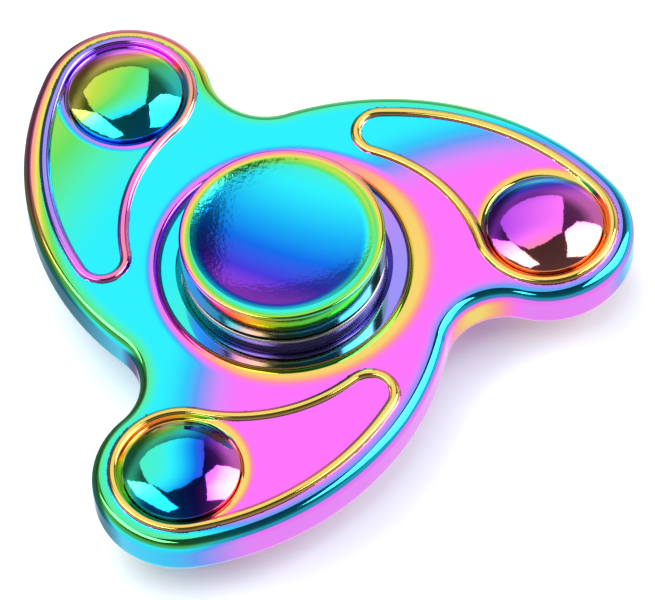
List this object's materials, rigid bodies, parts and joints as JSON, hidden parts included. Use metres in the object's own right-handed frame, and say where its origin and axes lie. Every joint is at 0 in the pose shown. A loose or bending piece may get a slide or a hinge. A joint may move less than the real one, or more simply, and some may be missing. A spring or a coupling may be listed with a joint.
{
  "type": "fidget spinner",
  "caption": "Three-armed fidget spinner: swept arms with domed weights and raised outlines turn on a central ball bearing between two dished finger caps.",
  "frame": {"origin": "on the spin axis at the middle of the body's thickness, which is the centroid", "axes": "+Z along the spin axis towards the upper finger cap, +X through the first counterweight"},
  "size_m": [0.064, 0.0678, 0.0158],
  "materials": {
    "rainbow_casting": "polished die casting with an oil-slick rainbow film that runs from green and cyan to magenta and gold",
    "rainbow_weight": "polished steel with the same rainbow film",
    "rainbow_cap": "rainbow film over a polished lip and a finely dimpled dish",
    "bearing_steel": "ground bearing steel",
    "ball_steel": "mirror-lapped bearing steel",
    "cage_steel": "pressed sheet steel",
    "shield_steel": "pressed sheet steel, satin",
    "spring_steel": "oiled spring steel"
  },
  "bodies": {
    "finger_axle": {"upper_finger_cap": "rainbow_cap", "lower_finger_cap": "rainbow_cap", "bearing_inner_race": "bearing_steel"},
    "spinner": {"spinner_body": "rainbow_casting", "counterweight_1": "rainbow_weight", "counterweight_2": "rainbow_weight", "counterweight_3": "rainbow_weight", "bearing_outer_race": "bearing_steel", "bearing_upper_shield": "shield_steel", "bearing_lower_shield": "shield_steel", "upper_snap_ring": "spring_steel", "lower_snap_ring": "spring_steel"},
    "ball_cage": {"cage_upper_half": "cage_steel", "cage_lower_half": "cage_steel"},
    "ball_1": {"bearing_ball_1": "ball_steel"},
    "ball_2": {"bearing_ball_2": "ball_steel"},
    "ball_3": {"bearing_ball_3": "ball_steel"},
    "ball_4": {"bearing_ball_4": "ball_steel"},
    "ball_5": {"bearing_ball_5": "ball_steel"},
    "ball_6": {"bearing_ball_6": "ball_steel"},
    "ball_7": {"bearing_ball_7": "ball_steel"}
  },
  "joints": [
    {"name": "body_spin", "type": "hinge", "parent": "finger_axle", "child": "spinner", "pos_m": [0, 0, 0], "axis": [0, 0, 1], "continuous": true},
    {"name": "cage_spin", "type": "hinge", "parent": "finger_axle", "child": "ball_cage", "pos_m": [0, 0, 0], "axis": [0, 0, 1], "continuous": true},
    {"name": "ball_1_roll", "type": "hinge", "parent": "ball_cage", "child": "ball_1", "pos_m": [0.0075, 0, 0], "axis": [0, 0, 1], "continuous": true},
    {"name": "ball_2_roll", "type": "hinge", "parent": "ball_cage", "child": "ball_2", "pos_m": [0.00468, 0.00586, 0], "axis": [0, 0, 1], "continuous": true},
    {"name": "ball_3_roll", "type": "hinge", "parent": "ball_cage", "child": "ball_3", "pos_m": [-0.00167, 0.00731, 0], "axis": [0, 0, 1], "continuous": true},
    {"name": "ball_4_roll", "type": "hinge", "parent": "ball_cage", "child": "ball_4", "pos_m": [-0.00676, 0.00325, 0], "axis": [0, 0, 1], "continuous": true},
    {"name": "ball_5_roll", "type": "hinge", "parent": "ball_cage", "child": "ball_5", "pos_m": [-0.00676, -0.00325, 0], "axis": [0, 0, 1], "continuous": true},
    {"name": "ball_6_roll", "type": "hinge", "parent": "ball_cage", "child": "ball_6", "pos_m": [-0.00167, -0.00731, 0], "axis": [0, 0, 1], "continuous": true},
    {"name": "ball_7_roll", "type": "hinge", "parent": "ball_cage", "child": "ball_7", "pos_m": [0.00468, -0.00586, 0], "axis": [0, 0, 1], "continuous": true}
  ],
  "couplings": [
    {"joint": "cage_spin", "follows": "body_spin", "ratio": 0.6323},
    {"joint": "ball_1_roll", "follows": "body_spin", "ratio": 1.7579},
    {"joint": "ball_2_roll", "follows": "body_spin", "ratio": 1.7579},
    {"joint": "ball_3_roll", "follows": "body_spin", "ratio": 1.7579},
    {"joint": "ball_4_roll", "follows": "body_spin", "ratio": 1.7579},
    {"joint": "ball_5_roll", "follows": "body_spin", "ratio": 1.7579},
    {"joint": "ball_6_roll", "follows": "body_spin", "ratio": 1.7579},
    {"joint": "ball_7_roll", "follows": "body_spin", "ratio": 1.7579}
  ]
}
